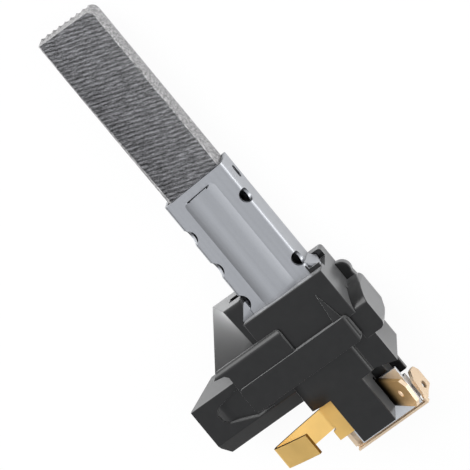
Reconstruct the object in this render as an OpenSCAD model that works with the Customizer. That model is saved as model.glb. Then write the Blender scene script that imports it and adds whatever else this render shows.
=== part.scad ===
// Carbon brush in a folded guide tube, held by a moulded holder that lies on its flat back.
// Every piece is drawn on the brush's own axes: X from the tube's mouth towards the terminals,
// Y across the wide face and Z out of it, with Z = 0 halfway through the tube.

/* [Carbon block] */
// Width of the carbon block
carbon_w = 13; // [12.8:0.1:13]
// Thickness of the carbon block
carbon_t = 5; // [4.8:0.1:5]
// Length of carbon that stands out of the tube
carbon_out = 39; // [30:0.5:42]
// Length of carbon left inside the tube
carbon_in = 4; // [3:0.5:5]
// Bedding grooves across the contact end
groove_count = 9; // [5:1:12]

/* [Guide tube] */
// Sheet thickness of the tube
sheet_t = 0.6; // [0.5:0.05:0.7]
// Length of the tube
tube_len = 49; // [48:0.5:49.5]
// Width of the raised spring channel
channel_w = 7; // [6.8:0.1:7.2]
// Height of the raised spring channel
channel_h = 0.85; // [0.8:0.05:0.95]
// Diameter of the holes punched on the fold lines
fold_hole_d = 3; // [2.4:0.1:3.2]

/* [Spring and lead] */
// Outer diameter of the spring
spring_d = 6; // [5.4:0.1:6.1]
// Wire diameter of the spring
wire_d = 0.6; // [0.5:0.1:0.8]
// Number of turns in the spring
spring_turns = 15; // [12:1:18]
// Diameter of the braided lead
lead_d = 1.6; // [1.2:0.1:1.8]

/* [Holder] */
// Distance from the seat face to the tube's mid-plane
seat_depth = 5.5; // [5.5:0.1:6]
// Distance from the tube's mouth to the flange shoulder
seat_x = 36; // [35:0.5:37]
// Height of the collar's front wall above the mid-plane
collar_front = 5.5; // [5.3:0.1:5.8]
// Height of the bar above the mid-plane
bar_front = 7; // [6.8:0.1:7.4]

/* [Terminals] */
// Width of the spade tabs
spade_w = 6.3; // [6:0.1:6.3]
// Thickness of the spade tabs
spade_t = 0.8; // [0.7:0.1:0.8]
// Slant of the front tab out of the wide face
tab_slant = 51; // [45:1:55]
// Sheet thickness of the brass strip
strip_t = 0.7; // [0.6:0.05:0.7]

/* [Hidden] */
$fn = 48;
slack = 0.1;
past = 1;
graphite = "#5a5a5c";
copper = "#b4693c";
spring_steel = "#8c8f94";
tube_steel = "#b4b8be";
moulding = "#262626";
brass = "#dcb45e";
nickel = "#c4c8ce";
bare_brass = "#a8865a";

// Carbon
edge_break = 0.3;
corner_r = 1.9;
groove_r = 0.9;
groove_depth = 0.3;
groove_pitch = carbon_w / groove_count;
bore_depth = 5;
bore_d = lead_d + 1.2;
nose_d = 4.4;
nose_len = 1.2;
plug_floor = 0.6;
plug_dip = 0.2;

// Tube: the sheet is folded round the carbon with a little play
bore_play = [0.6, 0.2];
bore_w = carbon_w + bore_play[0];
bore_t = carbon_t + bore_play[1];
tube_w = bore_w + 2 * sheet_t;
tube_t = bore_t + 2 * sheet_t;
fold_r = 0.8;
mouth_skew = 0.8;
channel_start = 1.8;
channel_r = (pow(channel_w / 2, 2) + pow(channel_h, 2)) / (2 * channel_h);
channel_centre = tube_t / 2 + channel_h - channel_r;
right_holes = [8, 24];
right_inset = 0.3;
left_holes = [8.6, 16.7, 24.9];
left_inset = -0.1;
side_slot_x = 2.5;
side_slot_len = 2.8;
side_slot_w = 1.4;
ear_z = 5;
ear_line = [[25.2, 0], [25.8, 0.25], [26.3, 0.75], [26.7, 1.35], [27.2, 2.2]];
ear_end = [[6, -3], [8.4, -3], [8.5, -2.5], [9.5, 1.6], [9.5, 3], [6, 3]];
side_slot_z = -0.8;
lead_hole_d = lead_d + 0.6;

// Holder: the collar round the tube, its two cheeks, the flange, the bar and the boss
back = -seat_depth;
back_wall = -4.4;
collar_x = 27.8;
collar_y = [-9.3, 9.7];
cheek_x = [23.9, 26];
cheek_z = 3.6;
ear_room = 0.3;
ear_side = tube_w / 2 + ear_line[4][1] + 0.1;
ear_open_x = 26.9;
ear_window = [[25.5, 0.9], [25.9, -0.8], [27, -2.5], [27.9, -2.4], [28.5, 1.6], [27.4, 1.8], [25.5, 1.8]];
rib_x = 31.1;
rib_y = [5.8, 7.2];
gusset_steps = 8;
gusset_x = [cheek_x[0], 36.4];
gusset_foot_y = [-15.4, -24.8];
gusset_top_y = [-11.4, -10.6];
flange_y = -29.2;
flange_z = 4.5;
flange_side = [[36.2, flange_z], [44.7, flange_z], [47.7, 2.3], [47.7, back], [35, back]];
flange_pocket = [[37.7, -17], [37.7, -19.9], [38.6, -24.4], [39.6, -25.3], [41.4, -25.1], [42.3, -24.4],
                 [44.4, -18.9], [44.4, -17]];
bar_x = [37.6, 43.3];
bar_y = [-18, 8];
left_block_x = 32.2;
boss_x = [34.4, 44.2];
boss_y = 12.7;
boss_z = 5;
boss_r = 1.3;
boss_side = [[38.4, boss_z], [boss_x[1], boss_z], [42.8, -1.5], [41.3, -4], [34.6, -4], [35.1, -1],
             [35.9, 1.4], [36.9, 3.4], [37.7, 4.5]];
bump_r = 2;
bump_x = 32.6;
bump_z = -3.6;
blend_x = 36.2;
blend_top = 0;

// Terminal block: the housing of the tube's end, the wing beside it, the foot and its back
block_z = 6;
housing_end = 49.8;
housing_side = [[-7.2, block_z], [-9.9, 3.5], [-9.9, back], [8, back], [8, block_z]];
wing_y = 10.1;
wing_z = 5.7;
wing_side = [[bar_x[1] - past, back_wall], [49.1, back_wall], [51.2, wing_z], [bar_x[1] - past, wing_z]];
wing_end = [[49.2, 2.5], [49.4, 4.3], [51.4, wing_y + past], [55, wing_y], [55, 2.5]];
shelf = [[49, -5.4], [49, 7.3], [55.7, 7.3], [55.7, 5.2], [58.5, 5.2], [58.5, -5.4]];
back_foot = [[49, -5.4], [49, 5.2], [58.4, 5.2], [58.4, 7], [61, 7], [61, -5.4]];

// Terminal plate and the strip round the foot of the holder
plate_front = 0.2;
plate_t = 0.8;
plate_x = [53.1, 61.8];
plate_y = [-7.5, 7];
foot_y = [-5.4, 2.5];
foot_end = 60.3;
foot_slope = 1.2;
strip_left = -9.1;
strip_right = 7.15;
strip_end = 62.6;
leg_bottom = -4.4;
web_bottom = -1.4;
hook_x = [49.9, 57.5];
hook_front = 5;
anchor_in = 1.9;
arm_w = 5.2;
arm_reach = 10;
arm_rise = 27;
tongue_w = 4.8;
tongue_len = 10;
tongue_rise = 31;

// Front tab: its foot lies on the plate inside the holder and its blade leans out
tab_x = 55.95;
tab_root_y = 2.95;
tab_blade = 10.6;
tab_lean = 6.5;
tab_taper = 1.3;
tab_foot_y = -1;
tab_room = [0.7, 1.2];
tab_hole_d = 1.6;
tab_hole_back = 3.9;

// Strip: the web under the foot is deeper on the hook's side
web_side = [[strip_left, plate_front], [strip_left, leg_bottom], [-7.5, leg_bottom], [-6, web_bottom],
            [strip_right + strip_t, web_bottom], [strip_right + strip_t, plate_front]];
rear_tab = [[62, plate_front], [62, -1.4], [61.4, -3.1], [60.9, -5.3], [57.3, -5.3], [56, -4.3],
            [56, -2.4], [57.6, -1], [60.4, -0.5], [61.3, plate_front]];
rear_hole = [59.9, -3.2];
rear_lean = 10;

// Lead: straight down the spring, then up on to the terminal plate beside the front tab's foot
lead_path = [[0, 0, 0], [24, 0, 0], [49.4, 0, 0], [50.4, -0.4, 0.15], [51.5, -1.2, 0.55], [52.6, -2, 0.95],
             [53.6, -2.2, 1.05], [56, -2.2, 1.05]];
lead_sides = 8;
lead_room_y = [-3.4, 1.4];
lead_room_z = [-1.4, plate_front + lead_d + 0.6];
lead_room_end = 57;

// Places the brush axes in the row: the seat face is Z = 0 and the contact end points along +X
module brush_axes() {
    translate([seat_x, 0, seat_depth])
        rotate([0, 0, 180])
            children();
}

function between(range, t) = range[0] + t * (range[1] - range[0]);

// A box between two opposite corners
module block(low, high) {
    translate(low)
        cube(high - low);
}

module flat_block(low, high) {
    translate(low)
        square(high - low);
}

// An outline drawn in Y and Z, carried along X
module along_x(from, to) {
    translate([from, 0, 0])
        rotate([90, 0, 90])
            linear_extrude(to - from)
                children();
}

// An outline drawn in X and Y, carried up Z
module up_z(from, to) {
    translate([0, 0, from])
        linear_extrude(to - from)
            children();
}

// An outline drawn in X and Z, carried along Y
module along_y(from, to) {
    translate([0, to, 0])
        rotate([90, 0, 0])
            linear_extrude(to - from)
                children();
}

// A rectangle whose corners are round
module round_rect(w, h, r) {
    square([w - 2 * r, h], center = true);
    square([w, h - 2 * r], center = true);
    for (sx = [-1, 1], sy = [-1, 1])
        translate([sx * (w / 2 - r), sy * (h / 2 - r)])
            circle(r);
}

// A rectangle whose corners are cut off
module chamfered_rect(w, h, c) {
    polygon([[-w / 2 + c, -h / 2], [w / 2 - c, -h / 2], [w / 2, -h / 2 + c], [w / 2, h / 2 - c],
             [w / 2 - c, h / 2], [-w / 2 + c, h / 2], [-w / 2, h / 2 - c], [-w / 2, -h / 2 + c]]);
}

module carbon_block() {
    color(graphite)
        brush_axes()
            difference() {
                union() {
                    along_x(-carbon_out, carbon_in)
                        chamfered_rect(carbon_w, carbon_t, edge_break);
                    along_x(carbon_in - past, carbon_in + nose_len)
                        circle(d = nose_d);
                }
                // Grooves of the contact end, deepest at the back edge
                for (i = [0 : groove_count - 1])
                    translate([-carbon_out - groove_r + groove_depth,
                               (i + 0.5) * groove_pitch - carbon_w / 2, -carbon_t / 2])
                        rotate([0, -4, 0])
                            translate([0, 0, -past])
                                cylinder(r = groove_r, h = carbon_t + 2 * past);
                // Rounded corner of the contact end
                up_z(-carbon_t, carbon_t)
                    translate([-carbon_out, carbon_w / 2])
                        difference() {
                            translate([-past, -corner_r])
                                square([corner_r + past, corner_r + past]);
                            translate([corner_r, -corner_r])
                                circle(corner_r);
                        }
                // Hole for the tamped lead
                along_x(carbon_in - bore_depth, carbon_in + nose_len + past)
                    circle(d = bore_d);
            }
}

module tamping_plug() {
    color(copper)
        brush_axes()
            difference() {
                along_x(carbon_in - bore_depth, carbon_in + nose_len - plug_dip)
                    circle(d = bore_d);
                along_x(carbon_in - bore_depth + plug_floor, carbon_in + nose_len + past)
                    circle(d = lead_d + 0.02);
            }
}

module shunt_lead() {
    rings = len(lead_path);
    points = [for (p = lead_path, k = [0 : lead_sides - 1])
        let (turn = 360 * (k + 0.5) / lead_sides)
        p + lead_d / 2 * [0, cos(turn), sin(turn)]];
    sides = [for (i = [0 : rings - 2], k = [0 : lead_sides - 1])
        let (next = (k + 1) % lead_sides)
        [i * lead_sides + k, (i + 1) * lead_sides + k, (i + 1) * lead_sides + next, i * lead_sides + next]];
    near_end = [for (k = [0 : lead_sides - 1]) k];
    far_end = [for (k = [0 : lead_sides - 1]) rings * lead_sides - 1 - k];
    color(copper)
        brush_axes()
            polyhedron(points, concat(sides, [near_end, far_end]));
}

// One round wire wound along X from the carbon's rear face to the tube's closed end
module pressure_spring() {
    wire_sides = 6;
    ring_step = 16;
    rings = spring_turns * ring_step;
    wire_r = wire_d / 2;
    coil_r = spring_d / 2 - wire_r;
    start = carbon_in + wire_r + slack;
    pitch = (tube_len - sheet_t - wire_r - slack - start) / spring_turns;
    points = [for (i = [0 : rings], k = [0 : wire_sides - 1])
        let (turn = 360 * i / ring_step, side = 360 * k / wire_sides, r = coil_r + wire_r * cos(side))
        [start + pitch * i / ring_step + wire_r * sin(side), r * cos(turn), r * sin(turn)]];
    sides = [for (i = [0 : rings - 1], k = [0 : wire_sides - 1])
        let (next = (k + 1) % wire_sides)
        [i * wire_sides + k, i * wire_sides + next, (i + 1) * wire_sides + next, (i + 1) * wire_sides + k]];
    near_end = [for (k = [0 : wire_sides - 1]) wire_sides - 1 - k];
    far_end = [for (k = [0 : wire_sides - 1]) rings * wire_sides + k];
    color(spring_steel)
        brush_axes()
            polyhedron(points, concat(sides, [near_end, far_end]));
}

// Outline of the folded sheet: grow is 0 outside and minus the sheet thickness inside
module tube_outline(grow, channel) {
    round_rect(tube_w + 2 * grow, tube_t + 2 * grow, fold_r + grow);
    if (channel)
        for (face = [0, 1])
            mirror([0, face])
                intersection() {
                    translate([0, channel_centre])
                        circle(channel_r + grow, $fn = 96);
                    translate([-channel_w, 0])
                        square([2 * channel_w, tube_t]);
                }
}

module brush_tube() {
    color(tube_steel)
        brush_axes()
            union() {
                difference() {
                    union() {
                        along_x(0, tube_len)
                            tube_outline(0, false);
                        along_x(channel_start, tube_len)
                            tube_outline(0, true);
                    }
                    along_x(-past, tube_len - sheet_t)
                        tube_outline(-sheet_t, false);
                    along_x(channel_start, tube_len - sheet_t)
                        intersection() {
                            tube_outline(-sheet_t, true);
                            square([channel_w, 2 * tube_t], center = true);
                        }
                    // Holes punched on the fold lines before the sheet is bent
                    for (x = right_holes)
                        fold_hole(x, tube_w / 2 - right_inset);
                    for (x = left_holes)
                        fold_hole(x, left_inset - tube_w / 2);
                    // Slot in the side wall near the mouth
                    along_y(tube_w / 2 - sheet_t - slack, tube_w / 2 + past)
                        translate([side_slot_x + side_slot_len / 2, side_slot_z])
                            round_rect(side_slot_len, side_slot_w, side_slot_w / 2 - 0.01);
                    // The mouth is cut a little out of square
                    up_z(-tube_t, tube_t)
                        polygon([[-past, tube_w], [0, tube_w], [0, tube_w / 2], [mouth_skew, -tube_w / 2],
                                 [mouth_skew, -tube_w], [-past, -tube_w]]);
                    // Hole in the folded end for the lead
                    along_x(tube_len - sheet_t - past, tube_len + past)
                        circle(d = lead_hole_d);
                }
                for (side = [-1, 1])
                    ear(side);
            }
}

module fold_hole(x, y) {
    translate([x, y, tube_t / 2 - 0.25])
        sphere(d = fold_hole_d);
}

// Ear bent out of the side wall in a curve, which locks the tube in the holder
module ear(side) {
    last = len(ear_line) - 1;
    outer = [for (p = ear_line) [p[0], tube_w / 2 - slack + p[1]]];
    inner = [for (i = [last : -1 : 0]) [ear_line[i][0] + sheet_t, tube_w / 2 - slack + ear_line[i][1]]];
    mirror([0, side < 0 ? 1 : 0])
        intersection() {
            up_z(-ear_z / 2, ear_z / 2)
                polygon(concat(outer, inner));
            along_x(ear_line[0][0], ear_line[last][0] + past)
                polygon(ear_end);
        }
}

// Hollow of the holder for the tube, with room for the ears
module tube_pocket() {
    pocket_x = cheek_x[0] - past;
    along_x(pocket_x, tube_len + slack)
        tube_outline(slack, true);
    up_z(-ear_z / 2 - ear_room, ear_z / 2 + ear_room)
        flat_block([pocket_x, -ear_side], [collar_x, ear_side]);
    // Open top of the left ear's pocket
    up_z(0, cheek_z + past)
        polygon([[cheek_x[1], -tube_w / 2], [collar_x, collar_y[0]], [collar_x, -tube_w / 2]]);
    // Open front of the right ear's pocket, and the window in the cheek's side where the ear ends
    block([pocket_x, tube_w / 2 - slack, ear_window[0][1]], [ear_open_x, collar_y[1] + past, cheek_z + past]);
    along_y(ear_side - past, collar_y[1] + past)
        polygon(ear_window);
}

// Hollow for the lead, the plate and the tab's foot
module terminal_pocket() {
    block([tube_len - past, lead_room_y[0], lead_room_z[0]],
          [plate_x[0] + 1, lead_room_y[1], lead_room_z[1]]);
    block([plate_x[0], lead_room_y[0], plate_front - slack],
          [lead_room_end, lead_room_y[1], lead_room_z[1]]);
    block([plate_x[0] - slack, plate_y[0] - past, plate_front - plate_t - slack / 2],
          [plate_x[1] + 2, plate_y[1] + 6, plate_front + slack / 2]);
    block([tab_x - spade_w / 2 - tab_room[0], tab_foot_y - slack, plate_front - slack],
          [tab_x + spade_w / 2 + tab_room[1], foot_y[1] + past, plate_front + spade_t + slack]);
}

// Collar round the tube: a low front wall between two higher cheeks, and a back wall
module collar() {
    up_z(back, collar_front)
        flat_block([collar_x, collar_y[0]], [bar_x[0] + past, collar_y[1]]);
    up_z(back, -tube_t / 2)
        polygon([[cheek_x[0], -9], [cheek_x[0], -6], [cheek_x[1], -6], [cheek_x[1], 9], [bar_x[0], 9],
                 [bar_x[0], -9]]);
    up_z(back, tube_t / 2)
        polygon([[cheek_x[1], tube_w / 2], [cheek_x[1], collar_y[1] - 0.7], [cheek_x[1] + 0.7, collar_y[1]],
                 [bar_x[0], collar_y[1]], [bar_x[0], tube_w / 2]]);
    gusset();
    collar_rib();
}

// Rib on the collar's front, growing towards the bar
module collar_rib() {
    rib_end = bar_x[0] + past;
    intersection() {
        along_y(rib_y[0] - past, rib_y[1] + past)
            polygon([[rib_x, collar_front - past], [rib_x, collar_front], [rib_end, bar_front - 0.3],
                     [rib_end, collar_front - past]]);
        up_z(0, bar_front)
            polygon([[rib_x, rib_y[0]], [rib_end, rib_y[1]], [rib_end, rib_y[0] - 0.8]]);
    }
}

// Left cheek, whose sloping side flares along X until it meets the flange
module gusset() {
    inner_y = -tube_w / 2;
    points = [for (i = [0 : gusset_steps])
        let (t = i / gusset_steps, x = between(gusset_x, t))
        each [[x, between(gusset_foot_y, t), back], [x, between(gusset_top_y, t), cheek_z],
              [x, inner_y, cheek_z], [x, inner_y, back]]];
    sides = [for (i = [0 : gusset_steps - 1], k = [0 : 3])
        let (a = 4 * i + k, b = 4 * i + (k + 1) % 4)
        each [[a, b, b + 4], [a, b + 4, a + 4]]];
    last = 4 * gusset_steps;
    polyhedron(points, concat([[3, 2, 1, 0]], sides, [[last, last + 1, last + 2, last + 3]]));
}

// Bar across the front and the raised block beside it
module bar() {
    up_z(0, bar_front)
        translate([(bar_x[0] + bar_x[1]) / 2, (bar_y[0] + bar_y[1]) / 2])
            round_rect(bar_x[1] - bar_x[0], bar_y[1] - bar_y[0], 0.9);
    up_z(0, bar_front - 0.5)
        polygon([[left_block_x, bar_y[0] + 0.8], [left_block_x, -5], [left_block_x + 0.6, -4.4],
                 [bar_x[0] + past, -4.4], [bar_x[0] + past, bar_y[0]], [left_block_x + 0.8, bar_y[0]]]);
}

// Flange with the seat shoulder, a sloping rim and a dished pocket
module flange() {
    difference() {
        intersection() {
            along_x(flange_side[4][0] - past, flange_side[2][0] + past)
                polygon([[flange_y, flange_z], [flange_y, flange_z - 0.6], [flange_y + 4.6, back], [-2, back],
                         [-2, flange_z]]);
            along_y(flange_y - past, 0)
                polygon(flange_side);
        }
        up_z(flange_z - 1.5, block_z)
            polygon(flange_pocket);
    }
}

// Square boss beside the bar with its rounded shoulder
module boss() {
    intersection() {
        along_y(0, boss_y + past)
            polygon(boss_side);
        up_z(back, block_z)
            union() {
                flat_block([boss_x[0] + boss_r, 7.5], [boss_x[1] - boss_r, boss_y]);
                flat_block([boss_x[0], 7.5], [boss_x[1], boss_y - boss_r]);
                for (x = [boss_x[0] + boss_r, boss_x[1] - boss_r])
                    translate([x, boss_y - boss_r])
                        circle(boss_r);
            }
    }
    bump();
    // Concave blend between the collar and the boss
    up_z(-4, blend_top)
        difference() {
            flat_block([blend_x - bump_r, 9], [blend_x + ear_room, collar_y[1] + bump_r]);
            translate([blend_x - bump_r, collar_y[1] + bump_r])
                circle(bump_r);
        }
}

// Rounded bump behind the collar's far edge
module bump() {
    up_z(back, bump_z) {
        translate([bump_x, collar_y[1] + 0.1])
            circle(bump_r);
        flat_block([bump_x, 8], [blend_x + bump_r, collar_y[1] + 0.1 + bump_r]);
    }
}

// Terminal block below the bar
module terminal_block() {
    along_x(bar_x[1] - past, housing_end)
        polygon(housing_side);
    difference() {
        along_y(foot_y[1], wing_y)
            polygon(wing_side);
        up_z(-block_z, block_z)
            polygon(wing_end);
        // The boss's front shows between the bar and the wing
        up_z(boss_z, block_z)
            flat_block([bar_x[1] - 2 * past, bar_y[1]], [boss_x[1], wing_y + past]);
    }
    // Foot in front of the terminal plate, with a sloping end
    along_y(foot_y[0], foot_y[1])
        polygon([[housing_end - past, -past], [plate_x[0], -past], [plate_x[0], plate_front],
                 [foot_end - foot_slope, plate_front], [foot_end, block_z], [housing_end - past, block_z]]);
    // Foot behind the terminal plate, recessed above its back shelf
    up_z(back, back_wall)
        polygon(shelf);
    up_z(back, plate_front - plate_t + slack / 2)
        polygon(back_foot);
}

// Room for the strip's anchor inside the terminal block
module strip_slot() {
    block([hook_x[0] - slack, strip_left - past, hook_front - strip_t - slack / 2],
          [hook_x[1] + slack, foot_y[0] + anchor_in + slack, hook_front + slack / 2]);
}

module holder_body() {
    color(moulding)
        brush_axes()
            difference() {
                union() {
                    collar();
                    bar();
                    flange();
                    boss();
                    terminal_block();
                }
                tube_pocket();
                terminal_pocket();
                strip_slot();
            }
}

// Brass strip: anchor plate with the hook contact, leg round the foot and the rear spade tab
module contact_strip() {
    color(brass)
        brush_axes()
            union() {
                block([hook_x[0], strip_left, hook_front - strip_t],
                      [hook_x[1], foot_y[0] + anchor_in, hook_front]);
                hook();
                leg();
                spade_tail();
            }
}

// Arm that leans out of the front, folded back into a tongue
module hook() {
    arm_len = arm_reach / cos(arm_rise);
    fold_y = strip_left + 0.8 - arm_reach;
    fold_z = hook_front - strip_t + arm_reach * tan(arm_rise) - 0.1;
    translate([hook_x[0] + 0.1, strip_left + 0.3, hook_front - strip_t])
        rotate([-arm_rise, 0, 0])
            translate([0, -arm_len, 0])
                cube([arm_w, arm_len, strip_t]);
    translate([hook_x[0] + 0.3, fold_y, fold_z]) {
        translate([0, 0, 0.75])
            rotate([0, 90, 0])
                cylinder(r = 0.75, h = tongue_w);
        rotate([tongue_rise, 0, 0])
            translate([0, 0, 0.7])
                cube([tongue_w, tongue_len, strip_t]);
    }
}

// Leg down the left side of the foot, and the web under the foot
module leg() {
    leg_x = hook_x[1] - 2.2;
    up_z(leg_bottom, hook_front)
        flat_block([leg_x, strip_left], [hook_x[1], strip_left + strip_t]);
    intersection() {
        along_x(leg_x, strip_end)
            polygon(web_side);
        up_z(leg_bottom, plate_front)
            difference() {
                flat_block([leg_x, strip_left], [strip_end, strip_right + strip_t]);
                flat_block([leg_x - past, strip_left + strip_t], [strip_end - strip_t, strip_right]);
                flat_block([leg_x - past, 0], [rear_tab[9][0], strip_right + 2 * past]);
            }
    }
}

// Tab that stands down behind the foot and leans out a little, with its small hole
module spade_tail() {
    translate([0, strip_right, plate_front])
        rotate([rear_lean, 0, 0])
            difference() {
                along_y(0, strip_t)
                    translate([0, -plate_front])
                        polygon(rear_tab);
                along_y(-past, 2 * past)
                    translate([rear_hole[0], rear_hole[1] - plate_front])
                        circle(d = tab_hole_d);
            }
}

// Flat plate with a short leg turned down behind its right edge
module terminal_plate() {
    color(nickel)
        brush_axes()
            union() {
                up_z(plate_front - plate_t, plate_front)
                    difference() {
                        flat_block([plate_x[0], plate_y[0]], [plate_x[1], plate_y[1]]);
                        flat_block([plate_x[0] - past, plate_y[0] - past], [58.2, foot_y[0] + 0.4]);
                    }
                block([55.8, plate_y[1] - plate_t, plate_front - 3], [58.1, plate_y[1], plate_front - slack]);
            }
}

module spade_terminal() {
    half = spade_w / 2;
    color(bare_brass)
        brush_axes()
            union() {
                block([tab_x - half, tab_foot_y, plate_front],
                      [tab_x + half, tab_root_y, plate_front + spade_t]);
                translate([tab_x, tab_root_y, plate_front])
                    rotate([tab_slant, 0, 0])
                        difference() {
                            linear_extrude(spade_t)
                                intersection() {
                                    rotate(-tab_lean)
                                        polygon([[-half, -past], [half, -past], [half, tab_blade - tab_taper],
                                                 [half - tab_taper, tab_blade], [tab_taper - half, tab_blade],
                                                 [-half, tab_blade - tab_taper]]);
                                    flat_block([-spade_w, 0], [spade_w, 2 * tab_blade]);
                                }
                            rotate(-tab_lean)
                                translate([0, tab_blade - tab_hole_back, -past])
                                    cylinder(d = tab_hole_d, h = spade_t + 2 * past);
                        }
            }
}

carbon_block();
tamping_plug();
shunt_lead();
pressure_spring();
brush_tube();
holder_body();
contact_strip();
terminal_plate();
spade_terminal();
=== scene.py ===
"""Carbon brush in a folded guide tube with its moulded holder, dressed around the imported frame."""

import math
import random

import bpy
from mathutils import Matrix, Vector


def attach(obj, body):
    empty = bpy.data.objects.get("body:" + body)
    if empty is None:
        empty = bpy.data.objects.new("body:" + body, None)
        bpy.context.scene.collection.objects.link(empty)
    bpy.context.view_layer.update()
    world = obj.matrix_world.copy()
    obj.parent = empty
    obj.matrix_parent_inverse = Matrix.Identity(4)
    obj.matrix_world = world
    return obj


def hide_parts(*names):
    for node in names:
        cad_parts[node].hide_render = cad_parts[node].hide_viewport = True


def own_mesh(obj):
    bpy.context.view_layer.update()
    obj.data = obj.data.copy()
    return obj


bl_info = {
    "name": "Carbon Brush and Holder",
    "version": (1, 0, 0),
    "blender": (4, 5, 0),
    "location": "3D View > Sidebar > Brush",
    "description": "Builds a motor's carbon brush with its guide tube, holder and terminals",
    "category": "Object",
}

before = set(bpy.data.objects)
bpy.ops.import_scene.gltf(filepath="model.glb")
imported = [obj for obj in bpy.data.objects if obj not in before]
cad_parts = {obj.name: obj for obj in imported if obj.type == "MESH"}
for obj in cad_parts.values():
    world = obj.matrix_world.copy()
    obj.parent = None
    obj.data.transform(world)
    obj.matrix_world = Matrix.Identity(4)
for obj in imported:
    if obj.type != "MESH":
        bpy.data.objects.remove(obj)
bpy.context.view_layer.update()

MM = 0.001
# The brush's own axes start at the tube's mouth, on its centre line: u runs back along it, v across and w out
SEAT_X = 36 * MM
SEAT_Z = 5.5 * MM


def row_point(u, v, w):
    """A point given along the brush, across it and out of it, in mm, as a row point in metres."""
    return Vector((SEAT_X - u * MM, -v * MM, SEAT_Z + w * MM))


def brush_place(point):
    """A row point in metres as its place along, across and out of the brush, in mm."""
    return (SEAT_X - point.x) / MM, -point.y / MM, (point.z - SEAT_Z) / MM


# ---------------------------------------------------------------- sizes and colours


class BrushSizes(bpy.types.PropertyGroup):
    """Sizes of the dressed brush."""

    saw_pitch: bpy.props.FloatProperty(
        name="Saw pitch", description="Distance between two saw marks on the carbon", default=0.5 * MM, unit="LENGTH")
    saw_depth: bpy.props.FloatProperty(
        name="Saw depth", description="Depth of the saw marks on the carbon", default=0.03 * MM, unit="LENGTH")
    sheet_edge: bpy.props.FloatProperty(
        name="Sheet edge", description="Rounding of the stamped sheet edges", default=0.08 * MM, unit="LENGTH")
    mould_edge: bpy.props.FloatProperty(
        name="Mould edge", description="Rounding of the moulded holder's edges", default=0.2 * MM, unit="LENGTH")
    wire: bpy.props.FloatProperty(
        name="Spring wire", description="Diameter of the spring wire", default=0.6 * MM, unit="LENGTH")
    lead: bpy.props.FloatProperty(
        name="Lead", description="Diameter of the twisted copper lead", default=1.6 * MM, unit="LENGTH")


def colour(name, description, hexa):
    """A colour property whose default is an sRGB hex value."""
    return bpy.props.FloatVectorProperty(
        name=name, description=description, subtype="COLOR", size=4, min=0, max=1, default=linear(hexa))


def linear(hexa):
    """An sRGB hex value as the linear colour that Blender's nodes read."""
    parts = [int(hexa[i:i + 2], 16) / 255 for i in (1, 3, 5)]
    return tuple(c / 12.92 if c <= 0.04045 else ((c + 0.055) / 1.055) ** 2.4 for c in parts) + (1.0,)


class BrushColours(bpy.types.PropertyGroup):
    """Colours of the dressed brush."""

    carbon: colour("Carbon", "Sawn face of the carbon-graphite block", "#58585a")
    # The side's paler grey is painted sheen: the sawn face and the sides are the same carbon
    carbon_side: colour("Carbon side", "Pressed side of the carbon-graphite block", "#8a8989")
    steel: colour("Tube steel", "Plated sheet steel of the guide tube", "#b9bbbf")
    moulding: colour("Moulding", "Black thermoset of the holder", "#0e0e0e")
    brass: colour("Brass", "Rolled brass of the contact strip", "#e9c072")
    # This dark brown on the stamped edges and the tongue's end is painted shade, not the brass's own colour
    edge_shade_brass: colour("Cut brass", "Stamped edges of the brass parts", "#6e4c1c")
    dull_brass: colour("Dull brass", "Stamped brass of the front tab", "#d2ab74")
    # Pale brass is the tinned web and rear tab, and also a painted highlight on the front tab's tip and hole
    pale_brass: colour("Pale brass", "Tinned brass of the rear tab and the web", "#f0d8ba")
    copper: colour("Copper", "Bare copper strands and tamped copper powder", "#c9794a")
    spring: colour("Spring", "Drawn spring wire", "#8c8f94")
    floor: colour("Floor", "Pale floor under the brush", "#f4f4f4")


# ---------------------------------------------------------------- nodes and materials


def add_node(tree, kind, settings=None, links=None, **attributes):
    """Adds one node with its attributes, its inputs' values and the sockets that feed it."""
    node = tree.nodes.new(kind)
    for key, value in attributes.items():
        setattr(node, key, value)
    for key, value in (settings or {}).items():
        node.inputs[key].default_value = value
    for key, socket in (links or {}).items():
        tree.links.new(socket, node.inputs[key])
    return node


def new_material(name, **sockets):
    """A material with its Principled shader's constants set, and its tree, shader and Object coordinates."""
    material = bpy.data.materials.new(name)
    material.use_nodes = True
    tree = material.node_tree
    shader = tree.nodes["Principled BSDF"]
    for key, value in sockets.items():
        shader.inputs[key.replace("_", " ")].default_value = value
    coords = add_node(tree, "ShaderNodeTexCoord").outputs["Object"]
    return material, tree, shader, coords


def ramp(tree, source, stops):
    """A colour ramp through (position, colour) stops."""
    node = add_node(tree, "ShaderNodeValToRGB", links={"Fac": source})
    elements = node.color_ramp.elements
    while len(elements) < len(stops):
        elements.new(0.5)
    for element, (position, value) in zip(elements, stops):
        element.position = position
        element.color = value
    return node.outputs["Color"]


def shade(value, factor):
    """A linear colour made lighter or darker."""
    return tuple(min(1, c * factor) for c in value[:3]) + (1.0,)


# Angle of the saw's marks to the block's width
SAW_LEAN = math.atan(0.32)


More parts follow.
